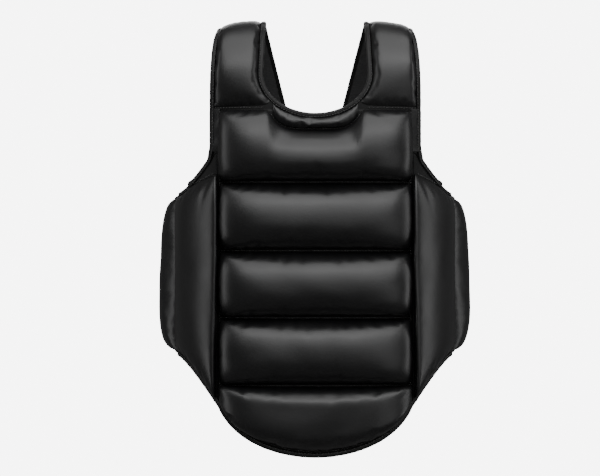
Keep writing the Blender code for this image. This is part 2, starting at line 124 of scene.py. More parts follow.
# The pads: how far gathers reach from a seam and the leather's thickness there.
# The cloth simulation runs at its own scale.
PUCKER_REACH, PUCKER_START = 9.0, 1.6
PAD_LEATHER = 0.9
CLOTH_SCALE = 0.01
CLOTH_FRAMES = 16

# Stitches: their distance apart, and each one's length, thickness and height
STITCH_PITCH, STITCH_LENGTH, THREAD_RADIUS, STITCH_LIFT = 4.0, 2.9, 0.42, 0.25

# The collar roll's lower edge, and the wing pad's straight top
COLLAR_HEIGHT, COLLAR_RISE, COLLAR_RISE_AT, COLLAR_BEND = 21.2, 23.0, 62.0, 4.8
WING_PAD_TOP, WING_PAD_SLOPE = 88.5, 0.37

# Where a piece that crosses a joint starts and ends its turn, in metres, on the left side
ARM_TURN = ((0.138, 0.015, 0.125), (0.150, 0.023, 0.103))
HEM_TURN = ((0.128, 0.011, -0.2), (0.138, 0.015, -0.2))
SIDE_TURN = ((0.1294, 0.0123, 0.0), (0.1337, 0.0140, 0.0))
CREASE_TURN = ((0.1893, 0.0751, 0.0), (0.1906, 0.0791, 0.0))
SHOULDER_TURN = ((0.1, 0.0640, 0.29), (0.1, 0.0680, 0.29))
BELT_TURN = ((0.1846, 0.1806, -0.045), (0.1781, 0.1916, -0.045))


def lerp(pair, share):
    return pair[0] + (pair[1] - pair[0]) * share


def points(x, y, z):
    return np.stack(np.broadcast_arrays(x, y, z), axis=-1).astype(float)


def unit(directions):
    return directions / np.linalg.norm(directions, axis=-1, keepdims=True)


def column(u, z):
    over = np.maximum(np.abs(u) - FLAT_HALF, 0.0)
    angle = np.minimum(over / CHEST_RADIUS, (SEAM_AT - FLAT_HALF) / CHEST_RADIUS)
    beyond = np.maximum(np.abs(u) - SEAM_AT, 0.0)
    x = np.minimum(np.abs(u), FLAT_HALF) + CHEST_RADIUS * np.sin(angle) + beyond * np.cos(angle)
    y = CHEST_RADIUS * (1 - np.cos(angle)) + beyond * np.sin(angle)
    return points(np.sign(u) * x, y, z)


def run(start, headings, length):
    """A stretch of the plan that turns evenly from one heading to another."""
    first, last = (math.radians(h) for h in headings)
    radius = length / (last - first)

    def surface(s, z):
        angle = first + s / radius
        x = start[0] + radius * (np.sin(angle) - math.sin(first))
        y = start[1] + radius * (math.cos(first) - np.cos(angle))
        return points(x, y, z)

    return surface


WING = run(column(np.array(SEAM_AT), 0.0), WING_HEADINGS, WING_LENGTH)
REAR = run(WING(np.array(WING_LENGTH), 0.0), REAR_HEADINGS, REAR_LENGTH)


def bezier(path, t):
    u = 1.0 - t
    weights = (u**3, 3 * u * u * t, 3 * u * t * t, t**3)
    return [sum(w * p[k] for w, p in zip(weights, path)) for k in range(len(path[0]))]


def plan_depth(x):
    angle = np.arcsin(np.maximum(0.0, np.minimum(x, SEAM_AT) - FLAT_HALF) / CHEST_RADIUS)
    return CHEST_RADIUS * (1 - np.cos(angle)) + np.maximum(0.0, x - SEAM_AT) * np.tan(angle)


def neck_height(x, inset=0.0):
    share = x / (NECK_HALF + inset)
    return NECK_CENTRE_Z - (NECK_DROP + inset) * np.sqrt(np.maximum(0.0, 1 - share * share))


def front_strap(inset=0.0):
    def surface(k, t):
        y, z = bezier(FRONT_PATH, t)
        drop = np.clip((NECK_CENTRE_Z - z) / (NECK_DROP + inset), 0.0, 1.0)
        share = np.maximum(0.0, (z - NECK_CENTRE_Z) / (FRONT_PATH[-1][1] - NECK_CENTRE_Z))
        inner = (NECK_HALF + inset) * np.sqrt(1 - drop * drop) + (STRAP_TOP[0] - NECK_HALF) * share
        outer = lerp((column(np.array(OUTLINE_AT), 0.0)[0], STRAP_TOP[1]), t**3) - inset
        x = lerp((inner, outer), (k + 1) / 2)
        return points(x, y + plan_depth(x) * (1 - t) ** 2, z - STRAP_TILT * k * t * t)

    surface.steps = STRAP_STEPS
    return surface


def back_strap(inset=0.0):
    top, end = BACK_PATH[0], BACK_PATH[-1]
    lean = math.hypot(1.0, (STRAP_TOP[0] - STRAP_END[0]) / (top[1] - end[1]))

    def surface(k, t):
        y, z = bezier(BACK_PATH, t)
        share = np.maximum(0.0, (top[1] - z) / (top[1] - end[1]))
        inner = lerp((STRAP_TOP[0], STRAP_END[0]), share) + inset * lean
        outer = lerp((STRAP_TOP[1], STRAP_END[1]), share) - inset * lean
        return points(lerp((inner, outer), (k + 1) / 2), y, z - STRAP_TILT * k * (1 - share) ** 2)

    surface.steps = STRAP_STEPS
    return surface


def panel(s, z):
    return points(-s, PANEL_Y, z)


def frame_at(surface, s, t):
    """Points of a surface and the directions square to it, away from the wearer."""
    steps = getattr(surface, "steps", (0.5, 0.5))
    s, t = np.broadcast_arrays(np.asarray(s, float), np.asarray(t, float))
    along_s = surface(s + steps[0], t) - surface(s - steps[0], t)
    along_t = surface(s, t + steps[1]) - surface(s, t - steps[1])
    return surface(s, t), unit(np.cross(along_s, along_t))


# Edges


def hem_height(u, inset=0.0):
    share = np.minimum(1.0, np.abs(u) / (HEM_HALF - inset))
    return SEAMS[4] - (HEM_DROP - inset) * np.sqrt(1 - share * share)


def collar_low(u):
    return neck_height(0.0) - COLLAR_HEIGHT + COLLAR_RISE * (np.abs(u) / COLLAR_RISE_AT) ** COLLAR_BEND


def wing_top(s):
    return WING_TOP + WING_TOP_RISE * np.maximum(0.0, 1 - s / WING_LENGTH) ** WING_TOP_BEND


def wing_high(s, inset):
    """The top of the wing's layers, cut off square under the side strip."""
    return np.minimum(set_back(wing_top, -inset)(s), STRIP_LOW - 1.5)


def wing_pad_top(s):
    return np.minimum(wing_high(s, PAD_INSET), WING_PAD_TOP - WING_PAD_SLOPE * s)


def wing_low(s):
    return WING_LOW - WING_LOW_DROP * np.maximum(0.0, 1 - s / WING_LENGTH) ** WING_LOW_BEND


def rounded_corner(over, radius):
    over = np.clip(over, 0.0, radius)
    return radius - np.sqrt(radius**2 - over**2)


def rear_corner(s):
    return rounded_corner(s - REAR_LENGTH + REAR_CORNER, REAR_CORNER)


def rear_top(s):
    return REAR_TOP - REAR_TOP_FALL * (s / REAR_LENGTH) ** 2 - rear_corner(s)


def rear_low(s):
    return REAR_LOW + REAR_LOW_RISE * (s / REAR_LENGTH) ** 2 + rear_corner(s)


def panel_corner(s):
    return rounded_corner(np.abs(s) - (PANEL_HALF - PANEL_CORNER), PANEL_CORNER)


def panel_low(s):
    return PANEL_LOW + panel_corner(s)


def panel_high(s):
    return PANEL_TOP - panel_corner(s)


def shifted(edge, rise):
    return lambda s: edge(s) + rise


def set_back(edge, inset):
    def moved(s):
        slope = edge(s + 0.5) - edge(s - 0.5)
        return edge(s) + inset * np.hypot(1.0, slope)

    return moved


# Meshes


def placed(name, data):
    made = bpy.data.objects.new(name, data)
    bpy.context.scene.collection.objects.link(made)
    return made


def new_object(name, vertices, faces, side=1, smooth=True):
    """A mesh from points in millimetres. On side -1 it is the mirror image."""
    vertices = np.array(vertices, float).reshape(-1, 3) * MM
    if side < 0:
        vertices[:, 0] *= -1
        faces = [face[::-1] for face in faces]
    mesh = bpy.data.meshes.new(name)
    mesh.from_pydata(vertices.tolist(), [], faces)
    mesh.update()
    if smooth:
        mesh.shade_smooth()
    return placed(name, mesh)


def grid_faces(rows, columns, start=0, flip=False):
    faces = []
    for i in range(rows - 1):
        for j in range(columns - 1):
            a = start + i * columns + j
            face = (a, a + columns, a + columns + 1, a + 1)
            faces.append(face[::-1] if flip else face)
    return faces


def border(rows, columns):
    """Indices round the edge of a grid, in order."""
    loop = list(range(columns))
    loop += [i * columns + columns - 1 for i in range(1, rows)]
    loop += [(rows - 1) * columns + j for j in range(columns - 2, -1, -1)]
    loop += [i * columns for i in range(rows - 2, 0, -1)]
    return loop


def shell(name, front, back, side=1):
    """A closed piece from two grids of points with the same rows and columns."""
    rows, columns = front.shape[:2]
    count = rows * columns
    faces = grid_faces(rows, columns) + grid_faces(rows, columns, count, flip=True)
    loop = border(rows, columns)
    for a, b in zip(loop, loop[1:] + loop[:1]):
        faces.append((a, b, count + b, count + a))
    return new_object(name, np.concatenate([front.reshape(-1, 3), back.reshape(-1, 3)]), faces, side)


def ease(cells, power=1.0):
    """Stations from -1 to 1, closer at both ends."""
    plain = np.linspace(-1, 1, cells + 1)
    return (1 - power) * plain + power * np.sin(plain * math.pi / 2)


def patch(first, last, low, high, cells, power=0.8):
    """Grids of both distances over a region of a surface, and of the shares a and b, from -1 to 1.

    The low and high edges are numbers or functions of the first distance.
    """
    a, b = np.meshgrid(ease(cells[0], power), ease(cells[1], power), indexing="ij")
    s = lerp((first, last), (a + 1) / 2)
    edges = [edge(s) if callable(edge) else edge for edge in (low, high)]
    return a, b, s, lerp(edges, (b + 1) / 2)


def waves(seed, shortest, longest, count=14):
    """A smooth random function of a length in millimetres, between about -1 and 1."""
    rng = np.random.default_rng(seed)
    pitch = np.exp(rng.uniform(math.log(shortest), math.log(longest), count))
    phase = rng.uniform(0, math.tau, count)
    weight = rng.uniform(0.4, 1.0, count)
    weight /= np.sqrt(np.sum(weight**2) / 2) * 1.6

    def value(x):
        return sum(w * np.sin(math.tau * x / p + f) for w, p, f in zip(weight, pitch, phase))

    return value


def field(base, seed, shortest, longest):
    """The same over a grid of points, from the lengths along it."""
    x, _, y, _ = edge_lengths(base)
    rng = np.random.default_rng(seed)
    count = 10
    ranges = ((0, math.tau), (0, math.tau), (shortest, longest))
    parts = [[rng.uniform(*pair) for pair in ranges] for _ in range(count)]
    total = sum(np.sin(math.tau * (x * math.cos(turn) + y * math.sin(turn)) / p + f) for turn, f, p in parts)
    return total / math.sqrt(count / 2) / 1.6


def edge_lengths(base):
    """For a grid of points: distances from its four edges, and lengths along both directions."""
    down = np.linalg.norm(np.diff(base, axis=0), axis=-1)
    across = np.linalg.norm(np.diff(base, axis=1), axis=-1)
    along_a = np.pad(np.cumsum(down, axis=0), ((1, 0), (0, 0)))
    along_b = np.pad(np.cumsum(across, axis=1), ((0, 0), (1, 0)))
    return along_a, along_a[-1:] - along_a, along_b, along_b[:, -1:] - along_b


def puckers(base, seed, height):
    """Small gathers square to each seam, which fade away from it."""
    near = edge_lengths(base)
    total = np.zeros(base.shape[:2])
    for number, distance in enumerate(near):
        along = near[2] if number < 2 else near[0]
        wave = waves(seed + number, 7.0, 24.0)
        calm = 0.55 + 0.45 * waves(seed + 40 + number, 60, 160, 5)(along)
        fade = np.exp(-distance / PUCKER_REACH) * (1 - np.exp(-distance / PUCKER_START))
        total += height * fade * wave(along) * calm
    return total


PADS = []


def pad(name, nodes, body, surface, region, crown, shape, side=1, seed=1, gather=0.55, lumps=0.5, bulge=1.5,
        sag=0.0, taper=0.0, inward=0.0, soft=0.5, ramp=None, loose=5.0):
    """A stuffed pad: crowned, drawn in along its seams and gathered a little there. finish_pads makes it.

    shape is its roundness both ways, taper thins it towards its far edge, inward leans it over its inner
    seam, and loose caps how far the cloth simulation moves it.
    """
    a, b, s, t = region
    base, normal = frame_at(surface, s, t)
    swell = np.maximum(0.0, 1 - np.abs(a) ** shape[0]) ** np.where(a < 0, soft, 0.5)
    swell *= np.sqrt(np.maximum(0.0, 1 - np.abs(b) ** shape[1]))
    swell *= 1 - taper * (a + 1) / 2
    if ramp is not None:
        swell *= ramp(b)
    out = RIM + crown * swell + puckers(base, seed, gather)
    out += lumps * field(base, seed + 90, 40, 120) * swell
    front = base + normal * out[..., None]
    # The stuffing pushes each side out over its seam
    lip = bulge * 4 * swell * (1 - swell) * np.clip(crown / 20.0, 0, 1)
    along_b = unit(np.gradient(base, axis=1))
    along_a = unit(np.gradient(base, axis=0))
    front += along_b * (lip * np.sign(b) * np.abs(b) ** 4)[..., None]
    front += along_a * (lip * np.sign(a) * np.abs(a) ** 4)[..., None]
    front -= along_a * (inward * swell * ((1 - a) / 2) ** 2)[..., None]
    # The stuffing's weight lets the pad hang over the seam below it
    front[..., 2] -= sag * swell
    PADS.append((name, nodes, body, side, front, base + normal * (RIM - PAD_LEATHER), loose))


def stuffed(fronts, caps):
    """Cloth simulation of the pads' leather, cut a little too large, pinned along its seams and blown up.

    No point moves further than its pad's cap.
    """
    scene = bpy.context.scene
    scene.frame_start, scene.frame_end = 1, CLOTH_FRAMES
    bags = []
    for number, front in enumerate(fronts):
        rows, columns = front.shape[:2]
        bag = new_object(f"bag_{number}", front / MM * CLOTH_SCALE, grid_faces(rows, columns))
        bag.vertex_groups.new(name="seam").add(border(rows, columns), 1.0, "REPLACE")
        cloth = bag.modifiers.new("cloth", "CLOTH")
        cloth.point_cache.frame_start, cloth.point_cache.frame_end = 1, CLOTH_FRAMES
        settings = cloth.settings
        settings.quality = 6
        settings.mass = 0.2
        settings.tension_stiffness = settings.compression_stiffness = 20.0
        settings.shear_stiffness = 8.0
        settings.bending_stiffness = 2.0
        settings.vertex_group_mass = "seam"
        settings.shrink_min = settings.shrink_max = -0.016
        settings.use_pressure = True
        settings.uniform_pressure_force = 3.0
        settings.effector_weights.gravity = 0.0
        cloth.collision_settings.use_collision = False
        bags.append(bag)
    for number in range(1, CLOTH_FRAMES + 1):
        scene.frame_set(number)
    seen = bpy.context.evaluated_depsgraph_get()
    results = []
    for bag, front, cap in zip(bags, fronts, caps):
        mesh = bag.evaluated_get(seen).to_mesh()
        moved = np.empty(len(mesh.vertices) * 3)
        mesh.vertices.foreach_get("co", moved)
        moved = moved.reshape(front.shape) / CLOTH_SCALE - front
        far = np.linalg.norm(moved, axis=-1, keepdims=True)
        results.append(front + moved * (cap * np.tanh(far / cap) / np.maximum(far, 1e-6)))
    for bag in bags:
        mesh = bag.data
        bpy.data.objects.remove(bag)
        bpy.data.meshes.remove(mesh)
    scene.frame_set(1)
    return results


def finish_pads():
    fronts = [row[4] for row in PADS]
    fronts = stuffed(fronts, [row[6] for row in PADS])
    for (name, nodes, body, side, _, back, _), front in zip(PADS, fronts):
        made = shell(name, front, back, side)
        finish_piece(made, LEATHER, "leather", body, *nodes)
        if body.endswith("wing"):
            # A wing's pad: its ends at the seam and the crease are found, and it gets a mesh of its own
            near, far = (WING(np.array(s), 0.0) * (side * MM, MM, MM) for s in (0.0, WING_LENGTH))
            tuple(far)
            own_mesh(made)


def layer(name, surface, region, outs, side, seed=0, ripple=0.0):
    """A layer of even thickness between two distances off a surface."""
    a, b, s, t = region
    base, normal = frame_at(surface, s, t)
    wavy = (ripple * field(base, seed, 14, 60))[..., None]
    return shell(name, base + normal * (outs[1] + wavy), base + normal * (outs[0] + wavy), side)


def lining(name, surface, region, body, *nodes, side=1):
    """A stretched lining; the width of its own flat cut is measured."""
    made = layer(name, surface, region, LINING_OUTS, side)
    finish_piece(made, LINING, "lining_mesh", body, *nodes)
    across, _, along, _ = edge_lengths(surface(region[2], region[3]) * MM)
    # A strap's first share is of its width, and the other surfaces are flat cuts measured along the plan
    width = float(across[-1].max() if hasattr(surface, "steps") else np.ptp(region[2]) * MM)


def resample(path, normals, pitch):
    """A path and the normals along it, at even distances."""
    step = np.linalg.norm(np.diff(path, axis=0), axis=-1)
    along = np.concatenate([[0], np.cumsum(step)])
    count = max(3, int(round(along[-1] / pitch)) + 1)
    at = np.linspace(0, along[-1], count)
    new = np.stack([np.interp(at, along, path[:, k]) for k in range(3)], axis=1)
    return new, unit(np.stack([np.interp(at, along, normals[:, k]) for k in range(3)], axis=1))


def smooth(path, rounds):
    path = path.copy()
    for _ in range(rounds):
        path[1:-1] = path[1:-1] * 0.5 + (path[:-2] + path[2:]) * 0.25
    return path


def tube_faces(rings, around, start=0):
    """The faces between rings of points that follow each other, with closed ends."""
    faces = []
    for ring in range(rings - 1):
        a = start + ring * around
        for j in range(around):
            k = (j + 1) % around
            faces.append((a + j, a + k, a + around + k, a + around + j))
    last = start + (rings - 1) * around
    faces.append(tuple(start + j for j in range(around - 1, -1, -1)))
    faces.append(tuple(last + j for j in range(around)))
    return faces


def sweep(name, path, normals, width, height, side=1, pitch=2.0, flare=1.0):
    """A tape folded over an edge: an oval section carried along a path, with closed ends."""
    around, fullness, wobble = 16, 2.6, 0.03
    path, normals = resample(path, normals, pitch)
    path = smooth(path, 3)
    tangent = unit(np.gradient(path, axis=0))
    across = unit(np.cross(tangent, normals))
    up = np.cross(across, tangent)
    along = np.arange(len(path)) * pitch
    grow = 1 + wobble * waves(7, 9, 40)(along)
    grow *= 1 + (flare - 1) * np.exp(-(((along[-1] - 6.0 - along) / 5.0) ** 2))
    angle = np.arange(around) * math.tau / around
    c, s = np.cos(angle), np.sin(angle)
    wide = width / 2 * np.sign(c) * np.abs(c) ** (2 / fullness)
    high = height / 2 * np.sign(s) * np.abs(s) ** (2 / fullness)
    rings = []
    ends = {0: 0.55, 1: 0.9, len(path) - 2: 0.9, len(path) - 1: 0.55}
    for i, (p, x, y) in enumerate(zip(path, across, up)):
        size = grow[i] * ends.get(i, 1.0)
        rings.append(p + (wide * size)[:, None] * x + (high * size)[:, None] * y)
    return new_object(name, np.concatenate(rings), tube_faces(len(path), around), side)


def stitch_row(path, normals):
    """The points and faces of a row of lock stitches: each thread rises out of its hole and dives back in."""
    path, normals = resample(path, normals, STITCH_PITCH)
    tangent = unit(np.gradient(path, axis=0))
    vertices, faces = [], []
    shares = ((-0.5, -0.7, 0.55), (-0.36, 0.35, 0.95), (0.0, 1.0, 1.0), (0.36, 0.35, 0.95), (0.5, -0.7, 0.55))
    for p, n, x in zip(path, normals, tangent):
        y = np.cross(n, x)
        start = len(vertices)
        for share, rise, size in shares:
            centre = p + x * (share * STITCH_LENGTH) + n * (STITCH_LIFT + rise * THREAD_RADIUS)
            for j in range(6):
                turn = j * math.pi / 3
                vertices.append(centre + (y * math.cos(turn) + n * math.sin(turn)) * THREAD_RADIUS * size)
        faces += tube_faces(len(shares), 6, start)
    return vertices, faces


def on(surface, s, t, out):
    """A path raised off a surface, and its normals."""
    base, normal = frame_at(surface, s, t)
    return base + normal * out, normal


def joined(*parts):
    return np.concatenate([p for p, _ in parts]), np.concatenate([n for _, n in parts])


def bridge(name, rows, outs, side):
    """A strip over a seam, from curves that run beside each other, each as (points, normals)."""
    base = np.stack([p for p, _ in rows])
    normal = np.stack([n for _, n in rows])
    # A bend in the strip is rounded by averaging the directions across it
    for _ in range(2):
        normal[1:-1] = normal[1:-1] * 0.5 + (normal[:-2] + normal[2:]) * 0.25
    normal = unit(normal)
    return shell(name, base + normal * outs[1], base + normal * outs[0], side)


def outline(first, last, low, high, inset):
    """A path up one side of a region, round its far end and back, set in from its edge."""
    count = 40
    s = np.concatenate([np.linspace(first, last - 24, count), np.linspace(last - 24, last, count)[1:]])
    middle = np.linspace(0.02, 0.98, count)[1:-1]
    far = [lerp((low(np.array(last)), high(np.array(last))), share) for share in middle]
    path = np.concatenate([np.stack([s, low(s)], 1), np.stack([0 * middle + last, far], 1),
                           np.stack([s, high(s)], 1)[::-1]])
    turn = unit(np.gradient(path, axis=0))
    path = path + np.stack([-turn[:, 1], turn[:, 0]], 1) * inset
    return path[:, 0], path[:, 1]


# Materials


def fill(tree, made, **inputs):
    """Sets a node's inputs: links the outputs of other nodes to them, or gives them values."""
    for key, value in inputs.items():
        socket = made.inputs[key.replace("_", " ")]
        if isinstance(value, bpy.types.NodeSocket):
            tree.links.new(value, socket)
        else:
            socket.default_value = value
    return made


def node(tree, kind, **inputs):
    return fill(tree, tree.nodes.new(f"ShaderNode{kind}"), **inputs)


def new_material(name):
    made = bpy.data.materials.new(name)
    made.use_nodes = True
    tree = made.node_tree
    return made, tree, tree.nodes["Principled BSDF"], node(tree, "TexCoord").outputs["Object"]


def noise(tree, where, scale, detail=4.0, rough=0.55):
    return node(tree, "TexNoise", Vector=where, Scale=scale, Detail=detail, Roughness=rough).outputs["Fac"]


def spread(tree, value, low, high):
    made = node(tree, "MapRange", Value=value, From_Min=0.3, From_Max=0.7, To_Min=low, To_Max=high)
    return made.outputs["Result"]


def tint(tree, value, dark, light):
    made = node(tree, "Mix")
    made.data_type = "RGBA"
    return fill(tree, made, A=(*dark, 1), B=(*light, 1), Factor=value).outputs["Result"]


def relief(tree, height, distance, strength, **under):
    return node(tree, "Bump", Height=height, Distance=distance, Strength=strength, **under).outputs["Normal"]


def leather(name, colour=(0.0032, 0.0032, 0.0034), rough=(0.30, 0.40), grain=0.00006, level=0.5):
    """Smooth synthetic leather: a fine pebble, faint creases, and a sheen that varies a little."""
    made, tree, shader, where = new_material(name)
    pebble = node(tree, "TexVoronoi")
    pebble.feature = "SMOOTH_F1"
    fill(tree, pebble, Vector=where, Scale=850.0, Smoothness=0.6)
    creases = noise(tree, where, 60.0, 6.0, 0.6)
    fine = relief(tree, pebble.outputs["Distance"], grain, 0.8)
    fill(tree, shader, Normal=relief(tree, creases, grain * 5, 0.35, Normal=fine),
         Roughness=spread(tree, noise(tree, where, 14.0, 3.0), *rough),
         Base_Color=tint(tree, creases, colour, tuple(c * 1.5 for c in colour)),
         IOR=1.5, Specular_IOR_Level=level)
    return made


def fabric(name, colour, pitch, rough, height, sheen, directions=("X", "Z", "Y")):
    """A woven or knitted cloth of threads at that pitch in metres."""
    made, tree, shader, where = new_material(name)
    bands = []
    for direction in directions:
        wave = node(tree, "TexWave", Vector=where, Scale=0.314 / pitch, Distortion=0.4, Detail=1.0)
        wave.bands_direction = direction
        bands.append(wave.outputs["Fac"])
    value = bands[0]
    for band in bands[1:]:
        product = node(tree, "Math")
        product.operation = "MULTIPLY"
        tree.links.new(value, product.inputs[0])
        tree.links.new(band, product.inputs[1])
        value = product.outputs["Value"]
    weave = relief(tree, value, height, 0.9)
    fuzz = noise(tree, where, 900.0, 3.0)
    fill(tree, shader, Normal=relief(tree, fuzz, height * 0.5, 0.5, Normal=weave),
         Base_Color=tint(tree, value, colour, tuple(c * 2.1 for c in colour)),
         Roughness=spread(tree, noise(tree, where, 20.0, 3.0), rough - 0.06, rough + 0.06),
         Sheen_Weight=sheen, Sheen_Roughness=0.5)
    return made


def belt_path():
    """The belt in plan, from inside the rear pad's edge to the hooks, and its outer side."""
    start = REAR(np.array(REAR_LENGTH), 0.0)
    heading = math.radians(REAR_HEADINGS[1] + 14)
    outer = BELT_BOX[1].y / MM - 1.0
    curve = ((start[0], start[1]), (start[0] + 30 * math.cos(heading), start[1] + 30 * math.sin(heading)),
             (110.0, outer), (72.0, outer))
    inside = REAR(np.linspace(REAR_LENGTH - 12.0, REAR_LENGTH - 1.0, 5), 0.0)[:, :2]
    bent = np.stack(bezier(curve, np.linspace(0.03, 1, 40)), 1)
    flat = np.stack([np.linspace(70.0, BELT_BOX[0].x / MM, 20), np.full(20, outer)], 1)
    plan = np.concatenate([inside, bent, flat])
    tangent = unit(np.gradient(plan, axis=0))
    out = np.stack([tangent[:, 1], -tangent[:, 0]], 1)
    return plan + out * 1.0, out


def band(name, plan, out, side):
    """Elastic webbing on edge: a flat band with round selvedges and a slight ripple from its stretch."""
    low, high = BELT_BOX[0].z / MM, BELT_BOX[1].z / MM
    z = np.concatenate([[low, low + 0.5], np.linspace(low + 1.4, high - 1.4, 22), [high - 0.5, high]])
    thick = np.concatenate([[0.25, 0.7], np.ones(22), [0.7, 0.25]])
    along = np.concatenate([[0], np.cumsum(np.linalg.norm(np.diff(plan, axis=0), axis=1))])
    ripple = 0.12 * waves(5, 6, 14)(along)
    centre = points(plan[:, None, 0], plan[:, None, 1], z[None, :])
    normal = points(out[:, None, 0], out[:, None, 1], 0 * z[None, :])
    half = (0.95 * thick[None, :] + ripple[:, None] * 0.5)[..., None]
    return shell(name, centre + normal * half, centre - normal * half, side)


def rounded_ring(turn, reach, radius, spacing):
    """Distances from the middle of a rectangle with rounded corners, all the way round it."""
    pairs = zip((np.cos(turn), np.sin(turn)), reach)
    return [np.clip(spacing * wave * far, -far, far) + radius * wave for wave, far in pairs]


def plate(name, low, high, corner, side=1):
    """A flat field of hooks or loops in the XZ plane, with rounded corners and a soft edge."""
    half, centre = (high - low) / 2, (high + low) / 2
    rings = []
    turn = np.linspace(0, math.tau, 97)[:-1]
    for inset, depth in ((0.0, -1.0), (0.0, 0.5), (0.6, 1.0)):
        x, z = rounded_ring(turn, (half.x - corner, half.z - corner), corner - inset, 4)
        rings.append(points(centre.x + x, centre.y + depth * half.y, centre.z + z))
    vertices = np.concatenate(rings)
    count = len(turn)
    faces = [tuple(range(count))]
    for ring in range(2):
        for j in range(count):
            k = (j + 1) % count
            faces.append((ring * count + j, (ring + 1) * count + j, (ring + 1) * count + k, ring * count + k))
    faces.append(tuple(2 * count + j for j in range(count - 1, -1, -1)))
    return new_object(name, vertices, faces, side, smooth=False)


LEATHER = leather("leather")
# A darker, duller copy of the leather: its darker colour is painted shade for the ledges and seam closings in
# the recesses between pads
LEDGE_PAINTED_SHADE = leather("leather_ledge_painted_shade", (0.0018, 0.0018, 0.0019), (0.45, 0.58), level=0.2)
TAPE = leather("binding_tape", (0.004, 0.004, 0.004), (0.46, 0.58), 0.00005, 0.25)
LINING = fabric("lining_mesh", (0.010, 0.010, 0.0105), 0.0016, 0.9, 0.0003, 0.15)
ELASTIC = fabric("elastic", (0.008, 0.008, 0.0085), 0.0022, 0.8, 0.0004, 0.2, "Z")
PILE = fabric("loop_pile", (0.007, 0.007, 0.007), 0.0009, 0.95, 0.0005, 0.15)
HOOKS = fabric("hook_field", (0.006, 0.006, 0.006), 0.0013, 0.6, 0.0004, 0.1)
THREAD = fabric("thread", (0.012, 0.012, 0.012), 0.0005, 0.5, 0.0001, 0.3)


def finish_piece(made, material, slot, body, *nodes):
    """Gives a piece its material and its body; a piece given two bodies, start and end has its placement
    baked in.
    """
    made.data.materials.clear()
    made.data.materials.append(material)
    if isinstance(body, str):
        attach(made, body)
    else:
        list(body)
        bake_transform(made)
    if nodes:
        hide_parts(*nodes)
    return made


def turning(first, last, ends, side):
    """The two bodies either side of the joint that a piece crosses, with its start and end on either side."""
    return (first, last, *((side * x, y, z) for x, y, z in ends))


def thread(name, rows, side, body):
    """One piece of thread work from several rows of (path, normals)."""
    vertices, faces = [], []
    for path, normals in rows:
        more, made = stitch_row(path, normals)
        start = len(vertices)
        vertices += more
        faces += [tuple(start + v for v in face) for face in made]
    finish_piece(new_object(name, vertices, faces, side), THREAD, "binding_tape", body)


def taped(name, path, normals, side, inner, body, *nodes, flare=1.0):
    """An edge tape and the row of stitches near its inner side, at +1 or -1 across it."""
    tape = sweep(name, path, normals, TAPE_WIDTH, TAPE_HEIGHT, side, flare=flare)
    finish_piece(tape, TAPE, "binding_tape", body, *nodes)
    path, normals = resample(path, normals, 2.0)
    path = smooth(path, 3)[3:-3]
    normals = normals[3:-3]
    across = unit(np.cross(np.gradient(path, axis=0), normals))
    row = path + (across * inner * TAPE_ROW_ACROSS + normals * TAPE_ROW_OUT)
    thread(f"{name}_stitches", [(row, normals)], side, body)


def ledge(name, surface, region, body, side=1, outs=LEDGE_OUTS):
    """The flat leather under a pad, which shows round it. Its darker colour is painted shade of the recess.
    """
    finish_piece(layer(name, surface, region, outs, side), LEDGE_PAINTED_SHADE, "leather", body)


def backing(name, rows, turn, side):
    """The lining behind a closed seam."""
    finish_piece(bridge(name, rows, BACKING_OUTS, side), LINING, "lining_mesh", turn)


def box_rows(corners, place, crossed=False):
    """Rows of stitches round a rectangle, and across it if it is crossed."""
    (left, low), (right, high) = corners
    lines = [((left, low), (right, low)), ((right, low), (right, high)), ((right, high), (left, high)),
             ((left, high), (left, low))]
    if crossed:
        lines += [((left, low), (right, high)), ((left, high), (right, low))]
    share = np.linspace(0, 1, 12)
    return [place(lerp((a[0], b[0]), share), lerp((a[1], b[1]), share)) for a, b in lines]


def inner_face(s, z):
    """A path on the rear pad's lining, with its normals towards the wearer."""
    base, normal = frame_at(REAR, s, z)
    return base, -normal


def facing_back(y):
    """Paths on a flat face at that depth."""
    return lambda s, z: (points(s, y, z), points(0 * s, 1.0, 0 * z))


def mirrored(row):
    """A row's mirror image, run the other way."""
    other = np.array([-1.0, 1.0, 1.0])
    return row[0][::-1] * other, row[1][::-1] * other


# The front body


def rib_edges(index):
    gap = 1.2

    def high(u):
        top = SEAMS[index] - gap
        return np.minimum(top, collar_low(u) - gap) if index == 0 else top

    def low(u):
        if index == 4:
            return hem_height(u, HEM_HALF - RIB_HALF - 1.0) - gap
        return SEAMS[index + 1] + gap

    return low, high


# Crown, roundness from top to bottom, and sag of each rib
RIBS = ((29.0, 2.1, 7.0), (29.0, 2.1, 6.0), (29.0, 2.1, 6.5), (27.0, 2.3, 6.0), (24.0, 6.5, 0.0))


def ribs():
    for index, (crown, roundness, sag) in enumerate(RIBS):
        low, high = rib_edges(index)
        region = patch(-RIB_HALF, RIB_HALF, low, high, (72, 40))
        nodes = (f"rib_cover_{index + 1}", f"rib_foam_{index + 1}")
        pad(f"rib_{index + 1}", nodes, "front", column, region, crown, (11.0, roundness), seed=10 + index,
            sag=sag, gather=0.35, loose=4.0)


def collar_roll():
    region = patch(-58.0, 58.0, shifted(collar_low, 0.8), lambda u: neck_height(u, PAD_INSET), (64, 20))
    pad("collar_roll", ("collar_cover", "collar_foam"), "front", column, region, 9.0, (3.0, 2.0), seed=31,
        gather=0.7)


def bib_top(u):
    return np.minimum(SEAMS[0], neck_height(u, 3.0))


def bib():
    region = patch(-LEDGE_HALF, LEDGE_HALF, lambda u: hem_height(u, LEDGE_INSET), bib_top, (72, 90), 0.3)
    ledge("bib_ledge", column, region, "front")
    region = patch(-LEDGE_HALF, LEDGE_HALF, lambda u: hem_height(u, 5.0), bib_top, (72, 60), 0.3)
    lining("chest_lining", column, region, "front", "front_lining")


